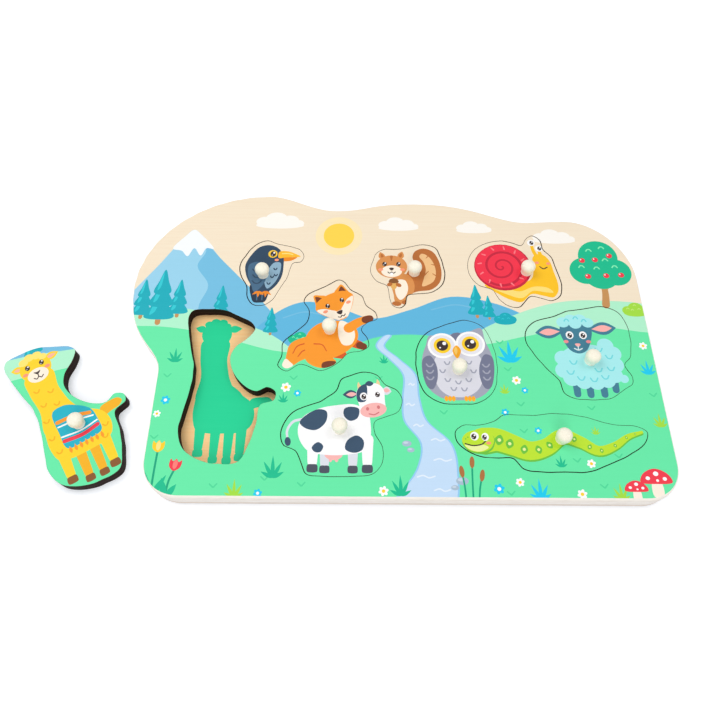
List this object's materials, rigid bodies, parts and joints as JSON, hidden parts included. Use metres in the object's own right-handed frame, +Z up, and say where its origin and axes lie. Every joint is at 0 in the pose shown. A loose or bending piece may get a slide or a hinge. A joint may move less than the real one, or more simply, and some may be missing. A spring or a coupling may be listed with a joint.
{
  "type": "wooden peg puzzle",
  "caption": "Flat plywood peg puzzle: a wavy-edged board with recesses for cut-out animal pieces, each lifted out by a small turned wooden knob.",
  "frame": {"origin": "middle of the board's width and depth, on its underside", "axes": "+X to the right along the straight front edge, +Y away from the front edge, +Z up out of the printed face"},
  "size_m": [0.3653, 0.196, 0.0186],
  "materials": {
    "back_plywood": "bare plywood with printed green shapes on the recess floors",
    "printed_face": "printed plywood, satin lacquer",
    "llama_print": "printed plywood, satin lacquer",
    "blackbird_print": "printed plywood, satin lacquer",
    "fox_print": "printed plywood, satin lacquer",
    "squirrel_print": "printed plywood, satin lacquer",
    "snail_print": "printed plywood, satin lacquer",
    "cow_print": "printed plywood, satin lacquer",
    "owl_print": "printed plywood, satin lacquer",
    "sheep_print": "printed plywood, satin lacquer",
    "snake_print": "printed plywood, satin lacquer",
    "turned_knob": "bare turned wood, sanded"
  },
  "bodies": {
    "board": {"back_board": "back_plywood", "face_board": "printed_face"},
    "llama": {"llama_piece": "llama_print", "llama_knob": "turned_knob"},
    "blackbird": {"blackbird_piece": "blackbird_print", "blackbird_knob": "turned_knob"},
    "fox": {"fox_piece": "fox_print", "fox_knob": "turned_knob"},
    "squirrel": {"squirrel_piece": "squirrel_print", "squirrel_knob": "turned_knob"},
    "snail": {"snail_piece": "snail_print", "snail_knob": "turned_knob"},
    "cow": {"cow_piece": "cow_print", "cow_knob": "turned_knob"},
    "owl": {"owl_piece": "owl_print", "owl_knob": "turned_knob"},
    "sheep": {"sheep_piece": "sheep_print", "sheep_knob": "turned_knob"},
    "snake": {"snake_piece": "snake_print", "snake_knob": "turned_knob"}
  },
  "joints": [
    {"name": "llama_lift", "type": "slide", "parent": "board", "child": "llama", "axis": [0, 0, 1], "range_m": [0, 0.04]},
    {"name": "blackbird_lift", "type": "slide", "parent": "board", "child": "blackbird", "axis": [0, 0, 1], "range_m": [0, 0.04]},
    {"name": "fox_lift", "type": "slide", "parent": "board", "child": "fox", "axis": [0, 0, 1], "range_m": [0, 0.04]},
    {"name": "squirrel_lift", "type": "slide", "parent": "board", "child": "squirrel", "axis": [0, 0, 1], "range_m": [0, 0.04]},
    {"name": "snail_lift", "type": "slide", "parent": "board", "child": "snail", "axis": [0, 0, 1], "range_m": [0, 0.04]},
    {"name": "cow_lift", "type": "slide", "parent": "board", "child": "cow", "axis": [0, 0, 1], "range_m": [0, 0.04]},
    {"name": "owl_lift", "type": "slide", "parent": "board", "child": "owl", "axis": [0, 0, 1], "range_m": [0, 0.04]},
    {"name": "sheep_lift", "type": "slide", "parent": "board", "child": "sheep", "axis": [0, 0, 1], "range_m": [0, 0.04]},
    {"name": "snake_lift", "type": "slide", "parent": "board", "child": "snake", "axis": [0, 0, 1], "range_m": [0, 0.04]}
  ]
}
